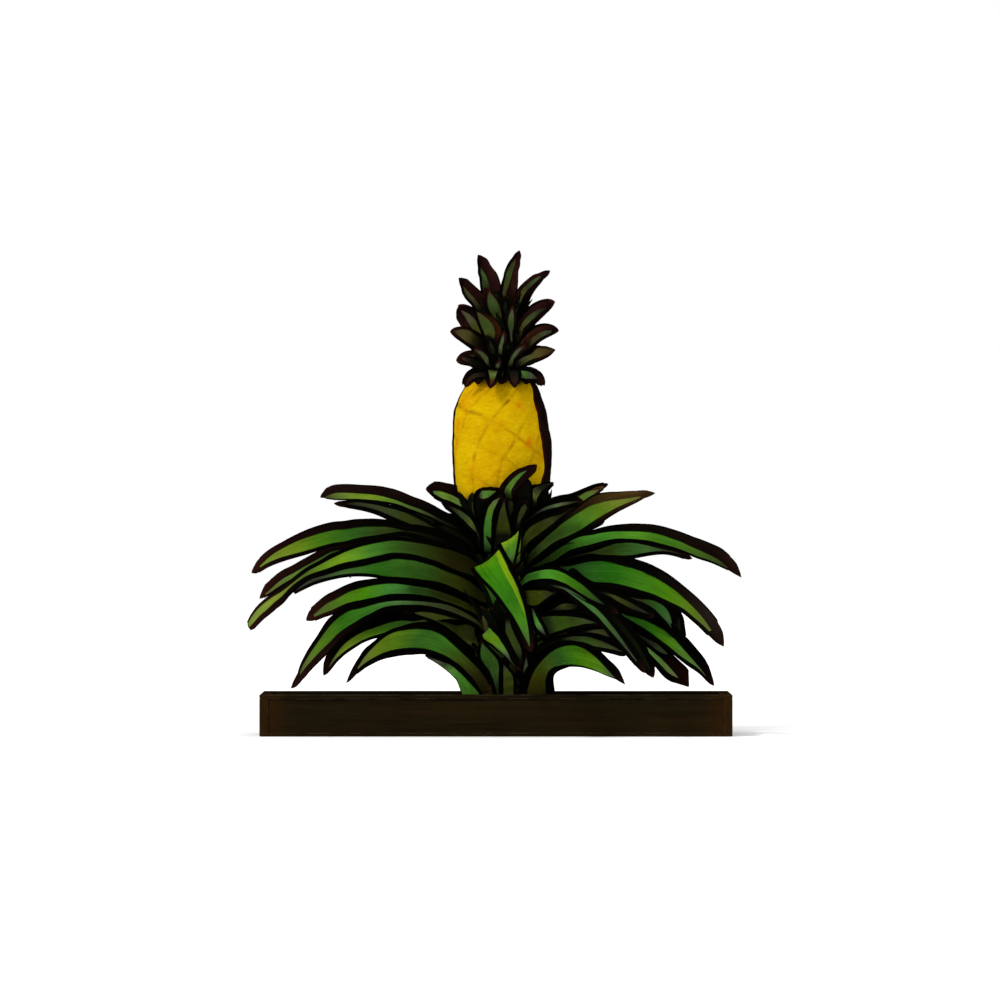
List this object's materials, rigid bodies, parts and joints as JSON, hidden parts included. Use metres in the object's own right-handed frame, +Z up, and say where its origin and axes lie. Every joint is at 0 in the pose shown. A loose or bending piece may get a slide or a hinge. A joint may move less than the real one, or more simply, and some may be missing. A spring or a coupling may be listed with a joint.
{
  "type": "fruiting pineapple plant in a wooden planter trough",
  "caption": "Short-stemmed rosette of long arching channelled leaves with one ripe golden pineapple and its leafy top, standing in a low wooden trough of soil",
  "frame": {"origin": "centre of the planter trough's flat underside", "axes": "+Z up, +X along the trough to the right as seen from its front, -Y towards the front"},
  "size_m": [0.7454, 0.6476, 0.7236],
  "materials": {
    "leaves": "satin",
    "crown_leaves": "satin",
    "stem": "matte",
    "fruit_rind": "satin",
    "trough_wood": "matte",
    "soil": "matte"
  },
  "bodies": {
    "root": {"planter_trough": "trough_wood", "soil": "soil", "stem": "stem", "fruit_stalk": "stem", "fruit": "fruit_rind", "crown_skirt": "crown_leaves", "crown_heart": "crown_leaves", "crown_leaf_1": "crown_leaves", "crown_leaf_2": "crown_leaves", "crown_leaf_3": "crown_leaves", "crown_leaf_4": "crown_leaves", "crown_leaf_5": "crown_leaves", "crown_leaf_6": "crown_leaves", "crown_leaf_7": "crown_leaves", "crown_leaf_8": "crown_leaves", "crown_leaf_9": "crown_leaves", "crown_leaf_10": "crown_leaves", "crown_leaf_front": "crown_leaves", "crown_leaf_back": "crown_leaves", "leaf_young_1": "leaves", "leaf_young_2": "leaves", "leaf_young_3": "leaves", "leaf_young_4": "leaves", "leaf_front_1": "leaves", "leaf_front_2": "leaves", "leaf_front_3": "leaves", "leaf_front_4": "leaves", "leaf_left_1": "leaves", "leaf_left_2": "leaves", "leaf_left_3": "leaves", "leaf_left_4_base": "leaves", "leaf_left_4_tip": "leaves", "leaf_left_5": "leaves", "leaf_left_6": "leaves", "leaf_left_7_base": "leaves", "leaf_left_7_tip": "leaves", "leaf_left_8": "leaves", "leaf_left_9_base": "leaves", "leaf_left_9_tip": "leaves", "leaf_left_upper": "leaves", "leaf_left_10": "leaves", "leaf_right_1": "leaves", "leaf_right_2": "leaves", "leaf_right_3": "leaves", "leaf_right_4_base": "leaves", "leaf_right_4_tip": "leaves", "leaf_right_5_base": "leaves", "leaf_right_5_tip": "leaves", "leaf_right_6": "leaves", "leaf_right_7_base": "leaves", "leaf_right_7_tip": "leaves", "leaf_right_8_base": "leaves", "leaf_right_8_tip": "leaves", "leaf_right_9": "leaves", "leaf_back_1": "leaves", "leaf_back_2": "leaves", "leaf_back_3": "leaves", "leaf_back_4": "leaves", "leaf_back_5": "leaves", "leaf_back_6": "leaves"}
  },
  "joints": []
}
